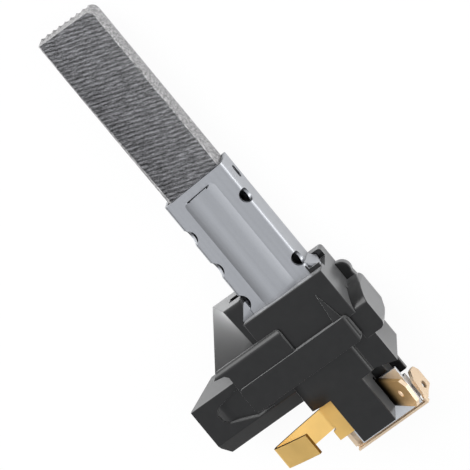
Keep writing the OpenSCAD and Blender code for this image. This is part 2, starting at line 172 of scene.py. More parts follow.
def sawn_carbon(colours, sizes):
    """Sawn carbon-graphite: dull grey with dark and light saw lines that lean, and a graphite sheen at low angles."""
    material, tree, shader, coords = new_material("sawn_carbon_graphite", Roughness=0.42, IOR=1.55)
    # The saw crossed the block at a lean: faint dark bands 0.85 mm apart that waver, and over them broken lines half
    # a pitch wide and about 1.7 mm long, which are coarser than the real ones so that they show
    turned = add_node(tree, "ShaderNodeMapping", {"Rotation": (0, 0, SAW_LEAN)}, {"Vector": coords})
    heavy = add_node(tree, "ShaderNodeTexWave",
                     {"Scale": 0.37 / MM, "Distortion": 3.0, "Detail": 4.0, "Detail Scale": 1.6,
                      "Detail Roughness": 0.7},
                     {"Vector": turned.outputs["Vector"]}, wave_type="BANDS", bands_direction="X", wave_profile="SIN")
    stretched = add_node(tree, "ShaderNodeMapping", {"Scale": (2 / sizes.saw_pitch, 0.6 / MM, 0.6 / MM)},
                         {"Vector": turned.outputs["Vector"]})
    fine = add_node(tree, "ShaderNodeTexNoise", {"Scale": 1.0, "Detail": 4.0, "Roughness": 0.8},
                    {"Vector": stretched.outputs["Vector"]})
    marks = add_node(tree, "ShaderNodeMix", {"Factor": 0.86},
                     {"A": heavy.outputs["Fac"], "B": fine.outputs["Fac"]}, data_type="FLOAT")
    # Pressed grains, 0.2 mm across
    grain = add_node(tree, "ShaderNodeTexNoise", {"Scale": 5 / MM, "Detail": 2.0, "Roughness": 0.6},
                     {"Vector": coords})
    mixed = add_node(tree, "ShaderNodeMix", {"Factor": 0.4},
                     {"A": marks.outputs["Result"], "B": grain.outputs["Fac"]}, data_type="FLOAT")
    tint = ramp(tree, mixed.outputs["Result"],
                [(0.43, shade(colours.carbon, 0.02)), (0.47, shade(colours.carbon, 0.75)),
                 (0.53, shade(colours.carbon, 1.15)), (0.59, shade(colours.carbon, 3.0))])
    tree.links.new(tint, shader.inputs["Base Color"])
    bump = add_node(tree, "ShaderNodeBump", {"Strength": 0.7, "Distance": 0.06 * MM},
                    {"Height": mixed.outputs["Result"]})
    tree.links.new(bump.outputs["Normal"], shader.inputs["Normal"])
    return material


def carbon_side_with_painted_sheen(colours):
    """Pressed side of the block: rough, with dark pits and bright grains, and paler than the sawn face as a painted
    sheen.
    """
    material, tree, shader, coords = new_material("pressed_carbon_painted_sheen", Roughness=0.6, IOR=1.6)
    # Pits 0.4 mm across and 0.6 mm along the block, and grains of 0.15 mm
    drawn = add_node(tree, "ShaderNodeMapping", {"Scale": (1.6 / MM, 2.6 / MM, 2.6 / MM)}, {"Vector": coords})
    pits = add_node(tree, "ShaderNodeTexNoise", {"Scale": 1.0, "Detail": 3.0, "Roughness": 0.75},
                    {"Vector": drawn.outputs["Vector"]})
    grains = add_node(tree, "ShaderNodeTexNoise", {"Scale": 7 / MM, "Detail": 2.0, "Roughness": 0.6},
                      {"Vector": coords})
    mixed = add_node(tree, "ShaderNodeMix", {"Factor": 0.45},
                     {"A": pits.outputs["Fac"], "B": grains.outputs["Fac"]}, data_type="FLOAT")
    tint = ramp(tree, mixed.outputs["Result"],
                [(0.4, shade(colours.carbon_side, 0.12)), (0.465, shade(colours.carbon_side, 0.8)),
                 (0.53, shade(colours.carbon_side, 1.3)), (0.59, shade(colours.carbon_side, 2.6))])
    tree.links.new(tint, shader.inputs["Base Color"])
    bump = add_node(tree, "ShaderNodeBump", {"Strength": 0.8, "Distance": 0.05 * MM},
                    {"Height": mixed.outputs["Result"]})
    tree.links.new(bump.outputs["Normal"], shader.inputs["Normal"])
    return material


def plated_steel(colours):
    """Zinc-plated sheet steel: satin, blue-grey, with very faint rolling marks along the tube."""
    material, tree, shader, coords = new_material("plated_sheet_steel", Metallic=1.0, Roughness=0.36)
    # Streaks 0.7 mm across and 33 mm long
    rolled = add_node(tree, "ShaderNodeMapping", {"Scale": (0.03 / MM, 1.5 / MM, 1.5 / MM)}, {"Vector": coords})
    streaks = add_node(tree, "ShaderNodeTexNoise", {"Scale": 1.0, "Detail": 3.0},
                       {"Vector": rolled.outputs["Vector"]})
    # Grain of the plating, 0.2 mm
    grain = add_node(tree, "ShaderNodeTexNoise", {"Scale": 5 / MM, "Detail": 2.0}, {"Vector": coords})
    mixed = add_node(tree, "ShaderNodeMix", {"Factor": 0.5},
                     {"A": streaks.outputs["Fac"], "B": grain.outputs["Fac"]}, data_type="FLOAT")
    tint = ramp(tree, mixed.outputs["Result"],
                [(0.35, shade(colours.steel, 0.95)), (0.65, shade(colours.steel, 1.03))])
    tree.links.new(tint, shader.inputs["Base Color"])
    rough = add_node(tree, "ShaderNodeMapRange",
                     {"From Min": 0.35, "From Max": 0.65, "To Min": 0.33, "To Max": 0.4},
                     {"Value": mixed.outputs["Result"]})
    tree.links.new(rough.outputs["Result"], shader.inputs["Roughness"])
    return material


def black_moulding(colours):
    """Black glass-filled thermoset, moulded: near black face on, grey at low angles from the skin's haze."""
    material, tree, shader, coords = new_material(
        "black_thermoset_moulding", Roughness=0.3, IOR=1.25, Coat_Weight=0.75, Coat_Roughness=0.22,
        Sheen_Weight=1.0, Sheen_Roughness=0.34)
    # Flow of the filler, in clouds of 2 mm
    mottled = add_node(tree, "ShaderNodeTexNoise", {"Scale": 0.5 / MM, "Detail": 4.0}, {"Vector": coords})
    tint = ramp(tree, mottled.outputs["Fac"],
                [(0.3, shade(colours.moulding, 0.7)), (0.7, shade(colours.moulding, 1.3))])
    tree.links.new(tint, shader.inputs["Base Color"])
    # The mould's fine spark texture, about 0.15 mm
    skin = add_node(tree, "ShaderNodeTexNoise", {"Scale": 7 / MM, "Detail": 2.0}, {"Vector": coords})
    bump = add_node(tree, "ShaderNodeBump", {"Strength": 0.1, "Distance": 0.01 * MM}, {"Height": skin.outputs["Fac"]})
    tree.links.new(bump.outputs["Normal"], shader.inputs["Normal"])
    return material


def sheet_metal(name, base, roughness, cloud, metallic=1.0):
    """Rolled or drawn metal with a satin skin, tarnish clouds of 4 mm and a fine grain of 0.17 mm."""
    material, tree, shader, coords = new_material(name, Metallic=metallic, Roughness=roughness)
    tarnish = add_node(tree, "ShaderNodeTexNoise", {"Scale": 0.25 / MM, "Detail": 4.0}, {"Vector": coords})
    tint = ramp(tree, tarnish.outputs["Fac"], [(0.3, shade(base, 1 - cloud)), (0.7, shade(base, 1 + cloud / 2))])
    tree.links.new(tint, shader.inputs["Base Color"])
    fine = add_node(tree, "ShaderNodeTexNoise", {"Scale": 6 / MM, "Detail": 2.0}, {"Vector": coords})
    bump = add_node(tree, "ShaderNodeBump", {"Strength": 0.1, "Distance": 0.01 * MM}, {"Height": fine.outputs["Fac"]})
    tree.links.new(bump.outputs["Normal"], shader.inputs["Normal"])
    return material


def brass_with_painted_root_reflection(colours):
    """Stamped brass of the front tab: dull, and darkened where it leaves the moulding by a painted reflection of the
    black moulding.
    """
    material, tree, shader, coords = new_material("dull_stamped_brass", Metallic=0.6, Roughness=0.42)
    tarnish = add_node(tree, "ShaderNodeTexNoise", {"Scale": 0.25 / MM, "Detail": 4.0}, {"Vector": coords})
    tint = ramp(tree, tarnish.outputs["Fac"],
                [(0.3, shade(colours.dull_brass, 0.9)), (0.7, shade(colours.dull_brass, 1.05))])
    place = add_node(tree, "ShaderNodeSeparateXYZ", links={"Vector": coords})
    # The painted dark reflection runs from the root, 3 mm past the brush's centre line, to where the brass shows
    # plain, 2.8 mm further out
    out = add_node(tree, "ShaderNodeMapRange", {"From Min": -3 * MM, "From Max": -5.8 * MM},
                   {"Value": place.outputs["Y"]}, interpolation_type="SMOOTHSTEP")
    # Near black is mixed in there as the moulding's painted reflection
    painted_root_reflection = add_node(tree, "ShaderNodeMix", links={0: out.outputs["Result"], 7: tint}, data_type="RGBA")
    painted_root_reflection.inputs[6].default_value = shade(colours.dull_brass, 0.02)
    tree.links.new(painted_root_reflection.outputs[2], shader.inputs["Base Color"])
    return material


def finish_of(name):
    """The finish with this name, made the first time it is asked for; nickel_plate is the frame's own plain one."""
    if name in bpy.data.materials:
        return bpy.data.materials[name]
    colours = bpy.context.scene.brush_colours
    sizes = bpy.context.scene.brush_sizes
    makers = {
        "sawn_carbon_graphite": lambda: sawn_carbon(colours, sizes),
        "pressed_carbon_painted_sheen": lambda: carbon_side_with_painted_sheen(colours),
        "plated_sheet_steel": lambda: plated_steel(colours),
        "black_thermoset_moulding": lambda: black_moulding(colours),
        "rolled_brass": lambda: sheet_metal("rolled_brass", colours.brass, 0.36, 0.06, 0.55),
        "brass_edge_painted_shade": lambda: sheet_metal("brass_edge_painted_shade", colours.edge_shade_brass, 0.5, 0.2),
        "dull_stamped_brass": lambda: brass_with_painted_root_reflection(colours),
        "tinned_brass_and_painted_highlight": lambda: sheet_metal("tinned_brass_and_painted_highlight", colours.pale_brass, 0.42, 0.05, 0.75),
        "bare_copper": lambda: sheet_metal("bare_copper", colours.copper, 0.35, 0.15),
        "drawn_spring_wire": lambda: sheet_metal("drawn_spring_wire", colours.spring, 0.3, 0.05),
    }
    return makers[name]()


# ---------------------------------------------------------------- mesh helpers


def only(piece):
    """Selects this object alone and makes it active."""
    bpy.ops.object.select_all(action="DESELECT")
    piece.select_set(True)
    bpy.context.view_layer.objects.active = piece


def merge(piece):
    """Merges the piece's doubled points, and its faces that lie within half a degree of one plane."""
    only(piece)
    bpy.ops.object.mode_set(mode="EDIT")
    bpy.ops.mesh.select_all(action="SELECT")
    bpy.ops.mesh.remove_doubles(threshold=1e-6)
    bpy.ops.mesh.dissolve_limited(angle_limit=math.radians(0.5))
    bpy.ops.object.mode_set(mode="OBJECT")


def merged_copy(node, name):
    """A copy of a CAD node's mesh with its triangles merged into flat faces."""
    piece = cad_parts[node].copy()
    piece.data = piece.data.copy()
    piece.name = piece.data.name = name
    bpy.context.collection.objects.link(piece)
    piece.data.materials.clear()
    merge(piece)
    return piece


def apply(piece, kind, **settings):
    """Adds a modifier with its settings and applies it."""
    modifier = piece.modifiers.new("step", kind)
    for key, value in settings.items():
        setattr(modifier, key, value)
    only(piece)
    bpy.ops.object.modifier_apply(modifier=modifier.name)


def soften(piece, width, segments=2, angle=30):
    """Rounds the piece's edges."""
    apply(piece, "BEVEL", width=width, segments=segments, limit_method="ANGLE", angle_limit=math.radians(angle),
          use_clamp_overlap=True, miter_outer="MITER_ARC")


def combine(piece, other, kind):
    """Joins, cuts or crosses the piece with another shell, which is used up."""
    apply(piece, "BOOLEAN", object=other, operation=kind, solver="MANIFOLD")
    mesh = other.data
    bpy.data.objects.remove(other)
    bpy.data.meshes.remove(mesh)


def on_plane(plane, a, b, c):
    """A point given by two coordinates of an outline and the one that it is extruded along."""
    return {"w": row_point(a, b, c), "v": row_point(a, c, b), "u": row_point(c, a, b)}[plane]


def prism(plane, corners, low, high, name="shell"):
    """An outline in mm, drawn with a circle primitive's corners and extruded from low to high."""
    bpy.ops.object.select_all(action="DESELECT")
    bpy.ops.mesh.primitive_circle_add(vertices=len(corners), fill_type="NGON", radius=MM)
    piece = bpy.context.active_object
    piece.name = piece.data.name = name
    for vertex, (a, b) in zip(piece.data.vertices, corners):
        vertex.co = on_plane(plane, a, b, low)
    bpy.ops.object.mode_set(mode="EDIT")
    bpy.ops.mesh.select_all(action="SELECT")
    travel = on_plane(plane, 0, 0, high) - on_plane(plane, 0, 0, low)
    bpy.ops.mesh.extrude_region_move(TRANSFORM_OT_translate={"value": travel})
    bpy.ops.mesh.select_all(action="SELECT")
    bpy.ops.mesh.normals_make_consistent(inside=False)
    bpy.ops.object.mode_set(mode="OBJECT")
    return piece


def box(low, high):
    """A box between two corners on the brush's axes, in mm."""
    return prism("w", [(low[0], low[1]), (high[0], low[1]), (high[0], high[1]), (low[0], high[1])], low[2], high[2])


def arc(centre, radius, start, end, steps):
    """Points of an arc, angles in degrees."""
    return [(centre[0] + radius * math.cos(math.radians(start + (end - start) * i / steps)),
             centre[1] + radius * math.sin(math.radians(start + (end - start) * i / steps)))
            for i in range(steps + 1)]


def round_corners(low, high, radius, steps=6):
    """Outline of a rectangle with round corners."""
    r = radius
    return (arc((high[0] - r, high[1] - r), r, 0, 90, steps) + arc((low[0] + r, high[1] - r), r, 90, 180, steps)
            + arc((low[0] + r, low[1] + r), r, 180, 270, steps) + arc((high[0] - r, low[1] + r), r, 270, 360, steps))


def centred_circle(centre, radius, steps=32):
    """Outline of a circle."""
    return arc(centre, radius, 0, 360 - 360 / steps, steps - 1)


def ball(centre, radius):
    """A ball around a point on the brush's axes, in mm."""
    bpy.ops.object.select_all(action="DESELECT")
    bpy.ops.mesh.primitive_ico_sphere_add(subdivisions=4, radius=radius * MM, location=row_point(*centre))
    bpy.ops.object.transform_apply(location=True, rotation=True, scale=True)
    return bpy.context.active_object


def bent(corners, radii, thickness):
    """Outline of a strip of even thickness bent along corners, each with the radius of its bend."""
    line = [Vector(corners[0])]
    for i in range(1, len(corners) - 1):
        before, corner, after = (Vector(corners[k]) for k in (i - 1, i, i + 1))
        arrive, leave = (corner - before).normalized(), (after - corner).normalized()
        turn = arrive.angle_signed(leave)
        reach = radii[i - 1] * math.tan(abs(turn) / 2)
        steps = max(2, int(abs(math.degrees(turn)) / 8))
        heading, at = arrive.copy(), corner - arrive * reach
        line.append(at.copy())
        chord = 2 * radii[i - 1] * math.sin(abs(turn) / steps / 2)
        spin = Matrix.Rotation(-turn / steps, 2)
        half = Matrix.Rotation(-turn / steps / 2, 2)
        for _ in range(steps):
            at = at + (half @ heading) * chord
            heading = spin @ heading
            line.append(at.copy())
    line.append(Vector(corners[-1]))
    left, right = [], []
    for i, point in enumerate(line):
        ahead = (line[min(i + 1, len(line) - 1)] - line[max(i - 1, 0)]).normalized()
        across = Vector((-ahead.y, ahead.x)) * thickness / 2
        left.append(tuple(point + across))
        right.append(tuple(point - across))
    return left + right[::-1]


def refinish(piece, finish, test):
    """Gives faces another finish, where the test passes a face's place and normal on the brush's axes."""
    piece.data.materials.append(finish_of(finish))
    for face in piece.data.polygons:
        normal = face.normal
        if test(brush_place(face.center), (-normal.x, -normal.y, normal.z)):
            face.material_index = len(piece.data.materials) - 1


# The detent hole of the front tab: its centre, and its axis across the brush and out of it
TAB_HOLE = (55.95, 7.2, 6.2)
TAB_HOLE_AXIS = (-0.77, 0.64)


def tab_highlight_faces(place, normal):
    """True for the front tab's coined tip and for the wall of its hole, which get pale brass as a painted highlight.
    """
    along_hole = abs(TAB_HOLE_AXIS[0] * normal[1] + TAB_HOLE_AXIS[1] * normal[2])
    off_hole = max(abs(a - b) for a, b in zip(place, TAB_HOLE))
    return min(normal[1], normal[2]) > 0.3 or off_hole < 1.3 and along_hole < 0.3


def hook_edge(place, normal):
    """True for the stamped sides of the strip's anchor, arm and tongue and for the tongue's end, which are painted
    dark as shade.
    """
    on_side, on_end = abs(normal[0]) > 0.9, abs(normal[1]) > 0.8 and place[2] > 12
    return place[2] > 3 and (on_side or on_end)


def web_face(place, normal):
    """True for the strip's web and rear tab, which lie lower than the hook and behind it."""
    return place[2] < 0.5 and place[0] > 55.5


def even_normals(piece, angle):
    """Smooth shading up to an angle, with the large faces kept flat."""
    only(piece)
    bpy.ops.object.shade_smooth_by_angle(angle=math.radians(angle))
    apply(piece, "WEIGHTED_NORMAL", keep_sharp=True)


def hand_over(piece, body, nodes, finish, angle=35):
    """Gives a finished piece its shading, finish and body, and hides its CAD nodes."""
    even_normals(piece, angle)
    piece.data.materials.clear()
    piece.data.materials.append(finish_of(finish))
    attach(piece, body)
    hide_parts(*nodes)


# ---------------------------------------------------------------- moulded holder

# In mm on the brush's axes: the holder's flat back, the fronts of the left cheek and of the wing, the collar's end
# towards the carbon and its right side, and half the tube's width and thickness
BACK = -5.5
CHEEK_Z = 3.6
WING_TOP = 5.1
COLLAR_X = 27.8
COLLAR_RIGHT = 9.7
TUBE_HALF_W = 7.4
TUBE_HALF_T = 3.2


def gusset():
    """The left cheek: a box whose sloping side flares until it meets the flange."""
    start, end = 23.9, 36.4
    inner = -TUBE_HALF_W
    foot, top = (-15.4, -24.8), (-11.4, -10.6)
    piece = box((start, foot[0], BACK), (end, inner, CHEEK_Z))
    bpy.ops.object.mode_set(mode="EDIT")
    bpy.ops.mesh.select_all(action="SELECT")
    bpy.ops.mesh.subdivide(number_cuts=11)
    bpy.ops.object.mode_set(mode="OBJECT")
    for vertex in piece.data.vertices:
        u, v, w = brush_place(vertex.co)
        t = (u - start) / (end - start)
        rise = (w - BACK) / (CHEEK_Z - BACK)
        side = (v - inner) / (foot[0] - inner)
        at_foot = foot[0] + t * (foot[1] - foot[0])
        at_top = top[0] + t * (top[1] - top[0])
        vertex.co = row_point(u, inner + side * (at_foot + rise * (at_top - at_foot) - inner), w)
    return piece


def flange():
    """The seat flange with its sloping rim and its dished pocket."""
    piece = prism("u", [(-29.2, 4.5), (-29.2, 3.9), (-24.6, BACK), (-2, BACK), (-2, 4.5)], 34, 48.7)
    side = prism("v", [(36.2, 4.5), (44.7, 4.5), (47.7, 2.3), (47.7, BACK), (35, BACK)], -31, 0)
    combine(piece, side, "INTERSECT")
    pocket = prism("w", [(37.7, -15), (37.7, -19.9), (38.6, -24.4), (39.6, -25.3), (41.4, -25.1), (42.3, -24.4),
                         (44.4, -18.9), (44.4, -15)], 3, 6)
    section = prism("u", [(-25.5, 6), (-25.5, 4.4), (-24.2, 3.5), (-22.6, 3.1), (-14.9, 3.9), (-14.9, 6)], 37, 45)
    combine(pocket, section, "INTERSECT")
    combine(piece, pocket, "DIFFERENCE")
    return piece


def bar():
    """The flat bar across the front, with its right end rounded over."""
    piece = prism("w", round_corners((37.6, -18), (43.3, 8), 0.9), 0, 7)
    side = prism("u", [(-18.5, -0.5), (8, -0.5)] + arc((7.1, 6.1), 0.9, 0, 90, 8) + [(-18.5, 7)], 37, 44)
    combine(piece, side, "INTERSECT")
    return piece


def left_block():
    """The block beside the bar: a wide rounding towards the carbon and a pointed left end."""
    plan = [(32.2, -19.3), (32.2, -5.2)] + arc((33, -5.2), 0.8, 180, 90, 6)
    piece = prism("w", plan + [(38.6, -4.4), (38.6, -18), (34.4, -18), (33.7, -18.6), (33.3, -20.8)], 0, 6.5)
    side = prism("v", [(39, -0.5), (39, 6.5)] + arc((33.3, 5.4), 1.1, 90, 180, 10) + [(33.7, -0.5)], -21, -4)
    combine(piece, side, "INTERSECT")
    # The pointed end hangs free below w 3
    combine(piece, prism("v", [(31, -0.5), (31, 3), (34.4, 3), (34.4, -0.5)], -21, -17.2), "DIFFERENCE")
    return piece


def boss():
    """The square boss beside the bar with its rounded shoulder."""
    piece = prism("v", [(38.4, 5), (44.2, 5), (42.8, -1.5), (41.3, -4), (34.4, -4), (34.7, -1.6), (35.2, 0.3),
                        (36, 2.2), (37, 3.8), (37.8, 4.7)], 5, 14)
    plan = prism("w", [(34.4, 5), (34.4, 11.4)] + arc((35.7, 11.4), 1.3, 180, 90, 6)
                 + arc((42.9, 11.4), 1.3, 90, 0, 6) + [(44.2, 5)], BACK, 6)
    combine(piece, plan, "INTERSECT")
    return piece


def wing():
    """The wing beside the terminal block, with its sloping end."""
    piece = prism("v", [(42.3, -4.4), (49.1, -4.4), (51.1, WING_TOP), (42.3, WING_TOP)], 2.5, 10.1)
    combine(piece, prism("w", [(49.2, 2.4), (49.4, 4.3), (51.4, 11.1), (55, 11.1), (55, 2.4)], -6, 7), "DIFFERENCE")
    # The boss's front shows between the bar and the wing
    combine(piece, box((41.3, 8, 5), (44.2, 11.1, 6)), "DIFFERENCE")
    return piece


def holder_shells():
    """Every solid of the moulding, each with its own rounding in mm; the collar comes first."""
    collar = box((COLLAR_X, -9.3, BACK), (38.6, COLLAR_RIGHT, 5.5))
    lip = prism("w", [(23.9, -9), (23.9, -6), (26, -6), (26, 9), (37.6, 9), (37.6, -9)], BACK, -TUBE_HALF_T)
    right_cheek = prism("w", [(26, TUBE_HALF_W - 1), (26, 9)] + arc((26.7, 9), 0.7, 180, 90, 4)
                        + [(37.6, COLLAR_RIGHT), (37.6, TUBE_HALF_W - 1)], BACK, TUBE_HALF_T)
    lobe = prism("w", arc((32.6, 9.8), 2, 60, 240, 14) + [(38.2, 8), (38.2, 11.8)], BACK, -3.6)
    housing = prism("u", [(-7.2, 6), (-9.9, 4.75), (-9.9, BACK), (8, BACK), (8, WING_TOP), (5.3, WING_TOP)]
                    + arc((4.3, 5.1), 0.9, 0, 90, 8), 42.3, 49.8)
    foot = prism("v", [(48.8, -1), (53.1, -1), (53.1, 0.2), (59.1, 0.2), (60.3, 6), (48.8, 6)], -5.4, 2.5)
    shelf = prism("w", [(48.8, -5.4), (48.8, 7.3), (55.7, 7.3), (55.7, 5.2), (58.5, 5.2), (58.5, -5.4)], BACK, -4.4)
    back_foot = prism("w", [(48.8, -5.4), (48.8, 5.2), (58.4, 5.2), (58.4, 7), (61, 7), (61, -5.4)], BACK, -0.55)
    return [
        (collar, 0.2), (lip, 0.2), (right_cheek, 0.15), (gusset(), 0.2), (bar(), 0.15), (left_block(), 0.2),
        (flange(), 0.4), (boss(), 0.25), (lobe, 0.25), (housing, 0.2), (wing(), 0.2), (foot, 0.2), (shelf, 0.15),
        (back_foot, 0.15),
    ]


def collar_rib():
    """The small rib that grows on the collar's front towards the bar, with its own softened edges."""
    piece = prism("v", [(31.1, 4.5), (31.1, 5.75), (38.6, 6.2), (38.6, 4.5)], 4.8, 8.2)
    combine(piece, prism("w", [(31.1, 5.8), (38.6, 7.2), (38.6, 5)], 0, 7), "INTERSECT")
    soften(piece, 0.12 * MM)
    return piece


def boss_blend():
    """The concave blend between the collar and the boss."""
    return prism("w", [(36.5, 9), (34.2, 9)] + arc((34.2, 11.7), 2, -90, 0, 10) + [(36.5, 11.7)], -4, 0)


# The tube's raised channels: their two edges across the face, and their height
CHANNEL_LOW = -4.0
CHANNEL_HIGH = 3.6
CHANNEL_HEIGHT = 0.85


def channel_dome(grow, steps=24):
    """The raised channel's arc across the face, from its high side to its low side."""
    reach, middle = (CHANNEL_HIGH - CHANNEL_LOW) / 2, (CHANNEL_HIGH + CHANNEL_LOW) / 2
    bow = (reach ** 2 + CHANNEL_HEIGHT ** 2) / (2 * CHANNEL_HEIGHT)
    centre = TUBE_HALF_T + CHANNEL_HEIGHT - bow
    lean = math.degrees(math.acos((TUBE_HALF_T + grow - centre) / (bow + grow)))
    return arc((middle, centre), bow + grow, 90 - lean, 90 + lean, steps)


def folded_section(grow):
    """The right and the left corner of the folded sheet's front half."""
    half_w, half_t, radius = TUBE_HALF_W + grow, TUBE_HALF_T + grow, 0.8 + grow
    right = arc((half_w - radius, half_t - radius), radius, 0, 90, 8)
    return right, [(-v, w) for v, w in reversed(right)]


def both_faces(upper):
    """A whole outline from its front half, which is mirrored for the back."""
    return upper + [(v, -w) for v, w in reversed(upper)]


def holder_cutters():
    """Everything that is hollow in the moulding."""
    right, left = folded_section(0.1)
    inner = -TUBE_HALF_W + 0.3
    return [
        # Way of the tube, room for its ears, and the dips beside them
        prism("u", both_faces(right + channel_dome(0.1) + left), 22.9, 49.1),
        box((25, -COLLAR_RIGHT, -2.8), (COLLAR_X, COLLAR_RIGHT, 2.8)),
        box((22.9, -10.4, -1.9), (25.4, -6.9, 0.5)),
        prism("w", [(24.8, inner), (24.8, -7.2), (COLLAR_X, -9.5), (COLLAR_X, inner)], 0, 4.6),
        box((22.9, TUBE_HALF_W - 0.1, 0.9), (26.9, 10.7, 4.6)),
        prism("v", [(25.5, 0.9), (25.9, -0.8), (27, -2.5), (27.9, -2.4), (28.5, 1.6), (27.4, 1.8), (25.5, 1.8)],
              8.7, 10.7),
        # Way of the lead, slot of the terminal plate, and room for the lead's end and the tab's foot on it
        box((48, -3.4, -1.4), (54.1, 1.4, 2.4)),
        box((53, -8.5, -0.65), (63.8, 13, 0.25)),
        box((53.1, -3.4, 0.1), (57, 1.4, 2.4)),
        box((52.1, -1.1, 0.1), (60.3, 3.5, 1.1)),
        # Slot of the contact strip's anchor
        box((49.8, -10.1, 4.25), (57.6, -3.4, 5.05)),
    ]


# ---------------------------------------------------------------- guide tube, hook, carbon, spring and lead

# The tube's sheet, its far end, and the line of an ear from the side wall outwards
SHEET = 0.6
TUBE_END = 49.0
EAR_LINE = [(25.2, 0), (25.8, 0.25), (26.3, 0.75), (26.7, 1.35), (27.2, 2.2)]


def channel_start(v, setback=0.0):
    """Where the front channel starts: a little out of square, as the mouth is."""
    return 2.25 - 0.075 * v + setback


def channel_plan():
    """Outline of a channel seen from the front: round corners at its start, open past the tube's far end."""
    rounding, past = 0.8, 1
    high_start, low_start = channel_start(CHANNEL_HIGH) + rounding, channel_start(CHANNEL_LOW) + rounding
    return ([(TUBE_END + past, CHANNEL_LOW - past), (TUBE_END + past, CHANNEL_HIGH + past),
             (high_start, CHANNEL_HIGH + past)]
            + arc((high_start, CHANNEL_HIGH - rounding), rounding, 90, 180, 6)
            + arc((low_start, CHANNEL_LOW + rounding), rounding, 180, 270, 6)
            + [(low_start, CHANNEL_LOW - past)])


def tube_solid():
    """The folded sheet with its two channels, open at the mouth and closed at the far end."""
    # How far from the centre line a channel's solid and its hollow end, inside the tube
    inside = 1.5
    right, left = folded_section(0)
    tube = prism("u", both_faces(right + left), 0, TUBE_END, "guide_tube")
    for face in (1, -1):
        section = channel_dome(0) + [(CHANNEL_LOW, inside), (CHANNEL_HIGH, inside)]
        channel = prism("u", [(v, face * w) for v, w in section], 1, TUBE_END)
        combine(channel, prism("w", channel_plan(), -5, 5), "INTERSECT")
        combine(tube, channel, "UNION")
    right, left = folded_section(-SHEET)
    combine(tube, prism("u", both_faces(right + left), -1, TUBE_END - SHEET), "DIFFERENCE")
    for face in (1, -1):
        section = channel_dome(-SHEET) + [(CHANNEL_LOW + 1, inside), (CHANNEL_HIGH - 1, inside)]
        hollow = prism("u", [(v, face * w) for v, w in section], channel_start(0, 0.3), TUBE_END - SHEET)
        combine(tube, hollow, "DIFFERENCE")
    return tube


def tube_cutters():
    """The out-of-square mouth, the slits at the channels' starts, the lead's hole, the slot and the punched holes."""
    # Across the slit, and how far it gapes there
    slit_v = [-3.1, -1.6, 0, 1.4, 2.6]
    bow = [0, 0.36, 0.52, 0.36, 0]
    slit = ([(channel_start(v, -0.1), v) for v in slit_v]
            + [(channel_start(v, 0.06 + b), v) for v, b in reversed(list(zip(slit_v, bow)))])
    cutters = [prism("w", [(-1, 8), (-0.05, 8), (0.9, -8), (-1, -8)], -6, 6),
               prism("w", slit, 1.5, 3.8), prism("w", slit, -5, -1.5),
               prism("v", round_corners((2.5, -1.5), (5.3, -0.1), 0.69), 6.4, 8),
               prism("u", centred_circle((0, 0), 1.1), 48, 50)]
    cutters += [ball((u, TUBE_HALF_W - 0.3, 2.95), 1.5) for u in (8, 24)]
    cutters += [ball((u, -TUBE_HALF_W - 0.4, 3.1), 1.95) for u in (8.6, 16.7, 24.9)]
    return cutters


def ear(side):
    """Ear bent out of the side wall in a curve, which locks the tube in the holder."""
    root = TUBE_HALF_W - 0.1
    outer = [(u, side * (root + v)) for u, v in EAR_LINE]
    inner = [(u + SHEET, side * (root + v)) for u, v in reversed(EAR_LINE)]
    piece = prism("w", outer + inner, -2.5, 2.5)
    ends = [(6, -3), (8.4, -3), (8.5, -2.5), (9.5, 1.6), (9.5, 3), (6, 3)]
    combine(piece, prism("u", [(side * v, w) for v, w in ends], 25, 28.3), "INTERSECT")
    return piece


def ear_web():
    """The left ear's upper edge, flared from the punched hole to the collar's corner."""
    root, rise = -6.9, 0.35
    piece = prism("w", [(24.9, root), (24.9, -7.25), (27.75, -9.48), (27.75, root)], 2.45, 2.85)
    for vertex in piece.data.vertices:
        vertex.co.z += max(0, root - brush_place(vertex.co)[1]) * rise * MM
    return piece


def hook():
    """The strip's contact: an arm that leans out of the front and folds back into a tongue."""
    line = [(-5.5, 4.65), (-8.75, 4.65), (-13.9, 7.05), (-19.19, 9.99), (-14.9, 12.75), (-10.3, 15.35)]
    # Tight bends at the anchor and the fold, and a slight bow in the arm and the tongue
    return prism("u", bent(line, [1.2, 30, 0.62, 30], 0.68), 50.15, 54.85)


def saw_marks(pitch, depth):
    """One comb of shallow grooves that crosses both wide faces at the saw's lean, unevenly as a saw leaves them."""
    draw = random.Random(11)
    # The comb reaches past the block's sides, and its teeth stand past the wide faces
    reach, face = 7.2, 2.5
    shift = math.tan(SAW_LEAN) * reach
    first = None
    u = -41.0
    while u < 2.5:
        half = draw.uniform(0.05, 0.12)
        front = (face - depth * draw.uniform(0.4, 1.6), face + 1)
        back = (-face - 1, -face + depth * draw.uniform(0.4, 1.6))
        for low, high in (front, back):
            tooth = prism("w", [(u - half - shift, -reach), (u + half - shift, -reach),
                                (u + half + shift, reach), (u - half + shift, reach)], low, high, "tooth")
            if first is None:
                first = tooth
                continue
            only(first)
            tooth.select_set(True)
            bpy.ops.object.join()
        u += pitch * draw.uniform(0.75, 1.25)
    return first


